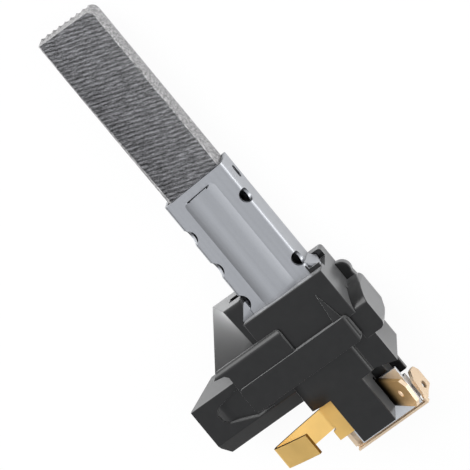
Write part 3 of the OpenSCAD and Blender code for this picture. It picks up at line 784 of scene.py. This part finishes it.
def coil(start, end, turns, radius, wire):
    """One round wire wound along the brush, closed at both ends; sizes in mm."""
    bpy.ops.object.select_all(action="DESELECT")
    bpy.ops.mesh.primitive_circle_add(vertices=10, radius=wire / 2 * MM, location=row_point(0, 0, 0))
    piece = bpy.context.active_object
    for vertex in piece.data.vertices:
        across, along = vertex.co.x, vertex.co.y
        vertex.co = (along - start * MM, 0, radius * MM + across)
    apply(piece, "SCREW", axis="X", angle=math.tau, screw_offset=-(end - start) / turns * MM, iterations=turns,
          steps=24, render_steps=24, use_normal_calculate=True)
    only(piece)
    bpy.ops.object.transform_apply(location=True, rotation=True, scale=True)
    bpy.ops.object.mode_set(mode="EDIT")
    bpy.ops.mesh.select_all(action="SELECT")
    bpy.ops.mesh.remove_doubles(threshold=1e-7)
    bpy.ops.mesh.select_all(action="DESELECT")
    bpy.ops.mesh.select_non_manifold()
    bpy.ops.mesh.fill_holes(sides=0)
    bpy.ops.mesh.select_all(action="SELECT")
    bpy.ops.mesh.normals_make_consistent(inside=False)
    bpy.ops.object.mode_set(mode="OBJECT")
    return piece


# From the tamping plug through the spring and the tube's far end, then up onto the terminal plate
LEAD_PATH = [(0, 0, 0), (24, 0, 0), (49.4, 0, 0), (50.4, -0.4, 0.15), (51.5, -1.2, 0.55), (52.6, -2, 0.95),
             (53.6, -2.2, 1.05), (56, -2.2, 1.05)]


def twisted_rope(path, diameter, strands, lay):
    """A rope of twisted strands along a path in mm, made from a lobed outline that turns once in each lay."""
    step, sides = 0.5, strands * 4
    # A lobe stands out and its groove stands in by this share of the radius
    lobe = 0.09
    points = []
    for a, b in zip(path, path[1:]):
        a, b = Vector(a), Vector(b)
        steps = max(1, round((b - a).length / step))
        points += [a + (b - a) * i / steps for i in range(steps)]
    points.append(Vector(path[-1]))
    outline = bpy.data.curves.new("outline", "CURVE")
    lobes = outline.splines.new("POLY")
    lobes.points.add(sides - 1)
    for i, point in enumerate(lobes.points):
        turn = math.tau * i / sides
        reach = diameter / 2 * MM * (1 - lobe + lobe * math.cos(strands * turn))
        point.co = (reach * math.cos(turn), reach * math.sin(turn), 0, 1)
    lobes.use_cyclic_u = True
    section = bpy.data.objects.new("outline", outline)
    bpy.context.collection.objects.link(section)
    route = bpy.data.curves.new("rope", "CURVE")
    route.dimensions = "3D"
    route.twist_mode = "MINIMUM"
    route.bevel_mode = "OBJECT"
    route.bevel_object = section
    route.use_fill_caps = True
    line = route.splines.new("POLY")
    line.points.add(len(points) - 1)
    for i, (point, place) in enumerate(zip(line.points, points)):
        point.co = (*row_point(*place), 1)
        point.tilt = math.tau * i * step / lay
    piece = bpy.data.objects.new("rope", route)
    bpy.context.collection.objects.link(piece)
    only(piece)
    bpy.ops.object.convert(target="MESH")
    piece = bpy.context.active_object
    bpy.data.objects.remove(section)
    only(piece)
    bpy.ops.object.mode_set(mode="EDIT")
    bpy.ops.mesh.select_all(action="SELECT")
    bpy.ops.mesh.remove_doubles(threshold=1e-7)
    bpy.ops.mesh.normals_make_consistent(inside=False)
    bpy.ops.object.mode_set(mode="OBJECT")
    return piece


# ---------------------------------------------------------------- operators


class BRUSH_OT_guide_tube(bpy.types.Operator):
    """Dresses the folded guide tube"""

    bl_idname = "brush.guide_tube"
    bl_label = "Guide tube"

    def execute(self, context):
        tube = tube_solid()
        for cutter in tube_cutters():
            combine(tube, cutter, "DIFFERENCE")
        for part in (ear(1), ear(-1), ear_web()):
            combine(tube, part, "UNION")
        tube.name = tube.data.name = "guide_tube"
        soften(tube, context.scene.brush_sizes.sheet_edge, 2, 22)
        hand_over(tube, "holder", ["brush_tube"], "plated_sheet_steel", 20)
        return {"FINISHED"}


class BRUSH_OT_holder(bpy.types.Operator):
    """Moulds the holder: collar, cheeks, flange, bar, boss and terminal block"""

    bl_idname = "brush.holder"
    bl_label = "Moulded holder"

    def execute(self, context):
        # The shells' own roundings are given for a mould edge of 0.2 mm
        rounding = context.scene.brush_sizes.mould_edge / (0.2 * MM)
        shells = holder_shells()
        for shell, edge in shells:
            soften(shell, edge * rounding * MM, 3)
        holder = shells[0][0]
        holder.name = holder.data.name = "moulded_holder"
        for other in [shell for shell, edge in shells[1:]] + [collar_rib(), boss_blend()]:
            combine(holder, other, "UNION")
        for cutter in holder_cutters():
            combine(holder, cutter, "DIFFERENCE")
        hand_over(holder, "holder", ["holder_body"], "black_thermoset_moulding")
        return {"FINISHED"}


class BRUSH_OT_terminals(bpy.types.Operator):
    """Dresses the contact strip, the terminal plate and the front spade tab"""

    bl_idname = "brush.terminals"
    bl_label = "Terminals"

    def execute(self, context):
        sizes = context.scene.brush_sizes
        for node, name, slot, finish in (
                ("contact_strip", "hook_strip", "brass_strip", "rolled_brass"),
                ("terminal_plate", "clamped_plate", "nickel_plate", "nickel_plate"),
                ("spade_terminal", "front_tab", "bare_brass", "dull_stamped_brass")):
            piece = merged_copy(node, name)
            if node == "contact_strip":
                # The plain hook goes with the top of the leg, which is filled again for the bent hook to stand on
                combine(piece, box((48, -25, 2), (60, -8.3, 20)), "DIFFERENCE")
                combine(piece, box((55.3, -9.1, 1.5), (57.5, -8.4, 4)), "UNION")
                combine(piece, box((55.3, -9.1, 3), (57.5, -7.9, 5)), "UNION")
                combine(piece, hook(), "UNION")
                # The web stands a little clear of the plate that it clamps
                combine(piece, box((61.5, -9.3, -0.9), (62.15, 7.3, 0.6)), "DIFFERENCE")
                combine(piece, box((55.5, 7, -0.9), (62.15, 7.45, 0.6)), "DIFFERENCE")
                merge(piece)
            soften(piece, sizes.sheet_edge)
            hand_over(piece, "holder", [node], finish)
            if node == "contact_strip":
                # The stamped sides and the tongue's end get the dark brown as painted shade
                refinish(piece, "brass_edge_painted_shade", hook_edge)
                refinish(piece, "tinned_brass_and_painted_highlight", web_face)
            elif node == "spade_terminal":
                # The tab's tip and hole wall get the pale brass as a painted highlight
                refinish(piece, "tinned_brass_and_painted_highlight", tab_highlight_faces)
        return {"FINISHED"}


class BRUSH_OT_carbon(bpy.types.Operator):
    """Cuts the carbon block's worn edge and saw marks, and finishes its tamping plug"""

    bl_idname = "brush.carbon"
    bl_label = "Carbon block"

    def execute(self, context):
        sizes = context.scene.brush_sizes
        carbon = merged_copy("carbon_block", "sawn_carbon")
        # The left edge is worn to a bevel that widens towards the tube
        worn = [row_point(-39, -6.45, 2.45), row_point(4, -6.5, 1.65), row_point(4, -5.65, 2.5)]
        off_edge = (worn[1] - worn[0]).cross(worn[2] - worn[0]).normalized()
        if off_edge.z < 0:
            off_edge.negate()
        only(carbon)
        bpy.ops.object.mode_set(mode="EDIT")
        bpy.ops.mesh.select_all(action="SELECT")
        bpy.ops.mesh.bisect(plane_co=worn[0], plane_no=off_edge, use_fill=True, clear_outer=True)
        bpy.ops.object.mode_set(mode="OBJECT")
        combine(carbon, saw_marks(sizes.saw_pitch / MM, sizes.saw_depth / MM), "DIFFERENCE")
        hand_over(carbon, "brush", ["carbon_block"], "sawn_carbon_graphite")
        # The sides and ends get the paler carbon as painted sheen, over its pressed pits and grains
        refinish(carbon, "pressed_carbon_painted_sheen", lambda place, normal: abs(normal[2]) < 0.9)
        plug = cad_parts["tamping_plug"].data
        plug.materials.clear()
        plug.materials.append(finish_of("bare_copper"))
        return {"FINISHED"}


# Where the spring and the lead leave the carbon and where they are fixed, in mm along it
SPRING_FREE, SPRING_FIXED = 4.4, 48.4
LEAD_FREE, LEAD_FIXED = 0, 49.4


class BRUSH_OT_spring_and_lead(bpy.types.Operator):
    """Winds the pressure spring and lays the copper lead through it"""

    bl_idname = "brush.spring_and_lead"
    bl_label = "Spring and lead"

    def execute(self, context):
        sizes = context.scene.brush_sizes
        spring = coil(SPRING_FREE, 48, turns=15, radius=2.7, wire=sizes.wire / MM)
        spring.name = spring.data.name = "coil_spring"
        hand_over(spring, "holder", ["pressure_spring"], "drawn_spring_wire", 60)
        lead = twisted_rope(LEAD_PATH, sizes.lead / MM, strands=6, lay=7)
        lead.name = lead.data.name = "copper_lead"
        hand_over(lead, "holder", ["shunt_lead"], "bare_copper", 60)
        # Each piece gets a mesh of its own
        for piece, fixed, free in ((spring, SPRING_FIXED, SPRING_FREE), (lead, LEAD_FIXED, LEAD_FREE)):
            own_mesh(piece)
        return {"FINISHED"}


class BRUSH_OT_stage(bpy.types.Operator):
    """Sets the floor, the light and the camera"""

    bl_idname = "brush.stage"
    bl_label = "Stage"

    def execute(self, context):
        make_floor()
        make_world()
        make_lamps()
        make_camera()
        return {"FINISHED"}


# Share of plain white that the camera sees in the floor, so that the object's shadow stays faint, and how much of it
# gloss sees, so that a reflection of the floor is darker close under the object
FLOOR_WHITE = 0.94
FLOOR_GLOSS = 0.5


def make_floor():
    """A pale floor that the camera and glass see as nearly white, and gloss as half white and half shaded."""
    bpy.ops.object.select_all(action="DESELECT")
    # Just below the holder's back, so that the two don't share a plane
    bpy.ops.mesh.primitive_plane_add(size=6, location=(0, 0, -0.02 * MM))
    floor = bpy.context.active_object
    floor.name = "studio_floor"
    bpy.ops.object.transform_apply(location=True, rotation=True, scale=True)
    material = bpy.data.materials.new("pale_floor")
    material.use_nodes = True
    tree = material.node_tree
    tree.nodes.clear()
    out = add_node(tree, "ShaderNodeOutputMaterial")
    paint = add_node(tree, "ShaderNodeBsdfDiffuse", {"Color": bpy.context.scene.brush_colours.floor})
    white = add_node(tree, "ShaderNodeEmission", {"Color": (1, 1, 1, 1), "Strength": 1.0})
    path = add_node(tree, "ShaderNodeLightPath")
    gloss = add_node(tree, "ShaderNodeMath", {1: FLOOR_GLOSS}, {0: path.outputs["Is Glossy Ray"]},
                     operation="MULTIPLY")
    seen = add_node(tree, "ShaderNodeMath", links={0: path.outputs["Is Camera Ray"], 1: gloss.outputs[0]},
                    operation="MAXIMUM")
    seen_all = add_node(tree, "ShaderNodeMath", links={0: seen.outputs[0], 1: path.outputs["Is Transmission Ray"]},
                        operation="MAXIMUM")
    share = add_node(tree, "ShaderNodeMath", {1: FLOOR_WHITE}, {0: seen_all.outputs[0]}, operation="MULTIPLY")
    mix = add_node(tree, "ShaderNodeMixShader", links={0: share.outputs[0], 1: paint.outputs[0], 2: white.outputs[0]})
    tree.links.new(mix.outputs[0], out.inputs["Surface"])
    floor.data.materials.append(material)


def make_world():
    """White for the camera; for light and gloss white at the horizon, light grey overhead and dark on one side."""
    world = bpy.data.worlds.new("studio")
    bpy.context.scene.world = world
    world.use_nodes = True
    tree = world.node_tree
    tree.nodes.clear()
    out = add_node(tree, "ShaderNodeOutputWorld")
    way = add_node(tree, "ShaderNodeTexCoord").outputs["Generated"]
    height = add_node(tree, "ShaderNodeSeparateXYZ", links={"Vector": way})
    tone = ramp(tree, height.outputs["Z"],
                [(0.0, (1, 1, 1, 1)), (0.4, (0.9, 0.91, 0.93, 1)), (0.75, (0.74, 0.755, 0.78, 1)),
                 (0.95, (0.58, 0.59, 0.61, 1))])
    # The studio is dark within 30 degrees of this direction, beyond the flange and the terminals, and plain past 50
    dark_side = (-0.66, 0.75, 0)
    beyond = add_node(tree, "ShaderNodeVectorMath", {1: dark_side}, {0: way}, operation="DOT_PRODUCT")
    dimmed = add_node(tree, "ShaderNodeMapRange",
                      {"From Min": 0.62, "From Max": 0.85, "To Min": 1.0, "To Max": 0.08},
                      {"Value": beyond.outputs["Value"]})
    light = add_node(tree, "ShaderNodeBackground", links={"Color": tone, "Strength": dimmed.outputs["Result"]})
    white = add_node(tree, "ShaderNodeBackground", {"Color": (1, 1, 1, 1), "Strength": 1.0})
    path = add_node(tree, "ShaderNodeLightPath")
    mix = add_node(tree, "ShaderNodeMixShader",
                   links={0: path.outputs["Is Camera Ray"], 1: light.outputs[0], 2: white.outputs[0]})
    tree.links.new(mix.outputs[0], out.inputs["Surface"])


def make_lamps():
    """Two broad soft lamps overhead, and two panels that show in the edges: past the carbon's end and at the right."""
    aim = Vector((0, 0, 5 * MM))
    # Each lamp's name, its place and size in metres, and its power in watts
    for name, place, size, power in (
            ("key", (0.5, 0.35, 0.75), (1.1, 1.1), 2.6),
            ("fill", (-0.55, -0.6, 0.6), (1.1, 1.1), 1.8),
            ("end_panel", (0.66, 0.22, 0.42), (0.5, 0.8), 3.8),
            ("side_panel", (-0.16, -0.72, 0.25), (0.5, 0.35), 1.1)):
        data = bpy.data.lights.new(name, "AREA")
        data.shape = "RECTANGLE"
        data.size, data.size_y = size
        data.energy = power
        lamp = bpy.data.objects.new(name, data)
        lamp.location = place
        lamp.rotation_euler = (Vector(place) - aim).to_track_quat("Z", "Y").to_euler()
        bpy.context.collection.objects.link(lamp)


# The photograph's width in pixels, and its scale in pixels to a millimetre
PHOTO_WIDTH = 470
PHOTO_SCALE = 5.216


def make_camera():
    """A long lens on the photograph's line of sight, far enough away that the frame is 90.1 mm wide at the object."""
    # The picture's rightward direction and the way back to the camera, fitted to the block's and the holder's edges
    right = Vector((-0.6226, -0.7742, -0.1136)).normalized()
    back = Vector((0.2109, -0.3058, 0.9284)).normalized()
    up = back.cross(right).normalized()
    right = up.cross(back).normalized()
    # A point on the line of sight through the picture's middle
    centre = Vector((20.15 * MM, 3.87 * MM, -3.75 * MM))
    width = PHOTO_WIDTH / PHOTO_SCALE * MM
    data = bpy.data.cameras.new("camera")
    data.lens = 1600
    data.sensor_width = 36
    distance = width * data.lens / data.sensor_width
    camera = bpy.data.objects.new("camera", data)
    camera.matrix_world = Matrix((right, up, back)).transposed().to_4x4()
    camera.location = centre + back * distance
    bpy.context.collection.objects.link(camera)
    bpy.context.scene.camera = camera


class BRUSH_PT_panel(bpy.types.Panel):
    """Lists the brush's operators"""

    bl_idname = "BRUSH_PT_panel"
    bl_label = "Carbon Brush"
    bl_space_type = "VIEW_3D"
    bl_region_type = "UI"
    bl_category = "Brush"

    def draw(self, context):
        for step in STEPS:
            self.layout.operator(step.bl_idname)


STEPS = (BRUSH_OT_stage, BRUSH_OT_guide_tube, BRUSH_OT_holder, BRUSH_OT_terminals, BRUSH_OT_carbon,
         BRUSH_OT_spring_and_lead)
CLASSES = (BrushSizes, BrushColours) + STEPS + (BRUSH_PT_panel,)


def register():
    """Registers the classes and gives the scene its sizes and colours."""
    for cls in CLASSES:
        bpy.utils.register_class(cls)
    bpy.types.Scene.brush_sizes = bpy.props.PointerProperty(type=BrushSizes)
    bpy.types.Scene.brush_colours = bpy.props.PointerProperty(type=BrushColours)


def unregister():
    """Takes away what register gave."""
    del bpy.types.Scene.brush_colours
    del bpy.types.Scene.brush_sizes
    for cls in reversed(CLASSES):
        bpy.utils.unregister_class(cls)


def main():
    """Registers the classes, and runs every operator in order."""
    register()
    bpy.context.scene.view_settings.view_transform = "Standard"
    for step in STEPS:
        group, name = step.bl_idname.split(".")
        getattr(getattr(bpy.ops, group), name)()


if __name__ == "__main__":
    main()
